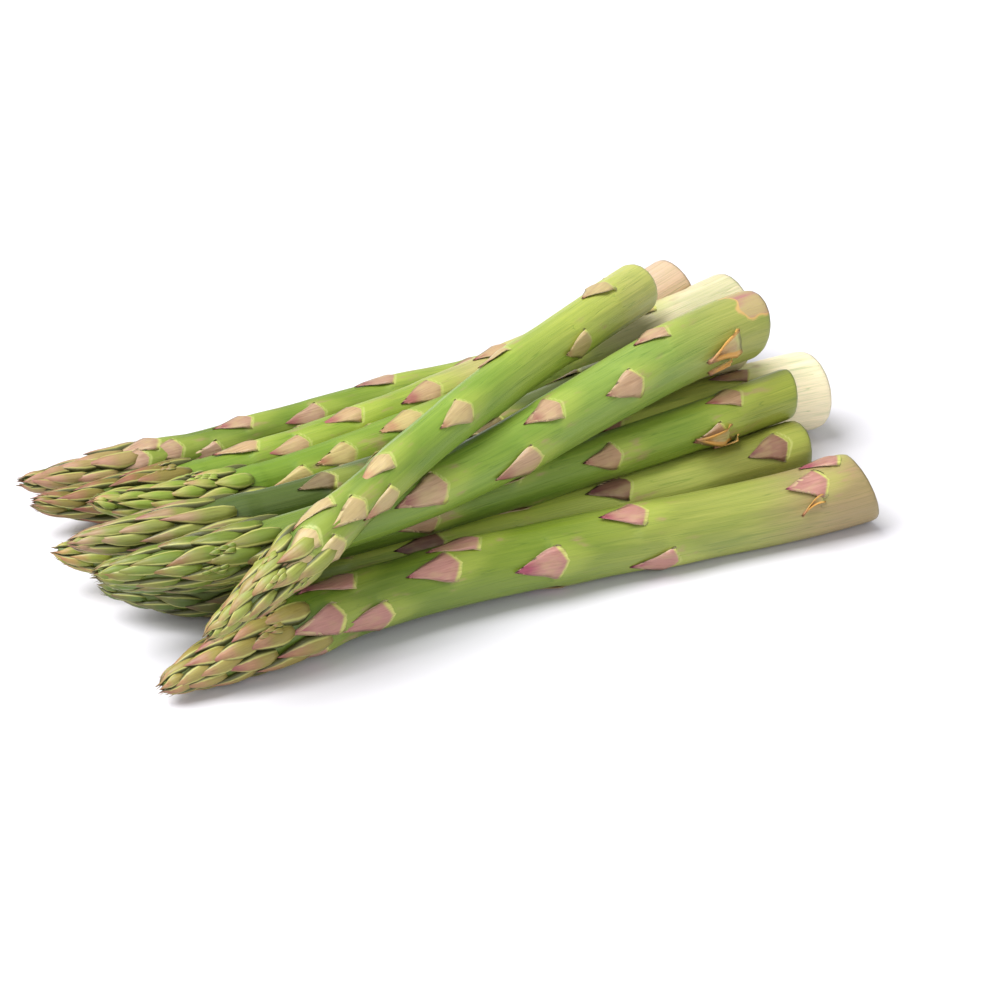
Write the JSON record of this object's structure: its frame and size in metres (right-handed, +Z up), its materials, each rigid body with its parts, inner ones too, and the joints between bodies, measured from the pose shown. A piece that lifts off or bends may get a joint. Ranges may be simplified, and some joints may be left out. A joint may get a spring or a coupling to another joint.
{
  "type": "bundle of asparagus",
  "caption": "Loose bunch of fresh green asparagus spears lying in a low pile, cut ends together and scaly heads together, for kitchen and market scenes.",
  "frame": {"origin": "middle of the pile's outline, on the surface that the pile lies on", "axes": "+X along the spears towards their cut ends, -Y towards the near side that the picture shows, +Z up"},
  "size_m": [0.2399, 0.1372, 0.0591],
  "materials": {
    "front_skin": "satin, pale yellow-green with a beige-pink cut end",
    "crossing_skin": "satin, light yellow-green",
    "thick_skin": "satin, fresh mid green",
    "under_skin": "satin, olive green",
    "middle_skin": "satin, dark green with a purple scale",
    "white_end_skin": "satin, cream cut end turning green",
    "hidden_skin": "satin, pale green with a pinkish head",
    "green_head_skin": "satin, cream cut end turning light green",
    "purple_tip_skin": "satin, green with a purple and pink head",
    "back_skin": "satin, green with a beige and purple head"
  },
  "bodies": {
    "root": {"spear_front": "front_skin", "spear_crossing": "crossing_skin", "spear_thick": "thick_skin", "spear_under": "under_skin", "spear_middle": "middle_skin", "spear_white_end": "white_end_skin", "spear_hidden": "hidden_skin", "spear_green_head": "green_head_skin", "spear_purple_tip": "purple_tip_skin", "spear_back": "back_skin"}
  },
  "joints": []
}
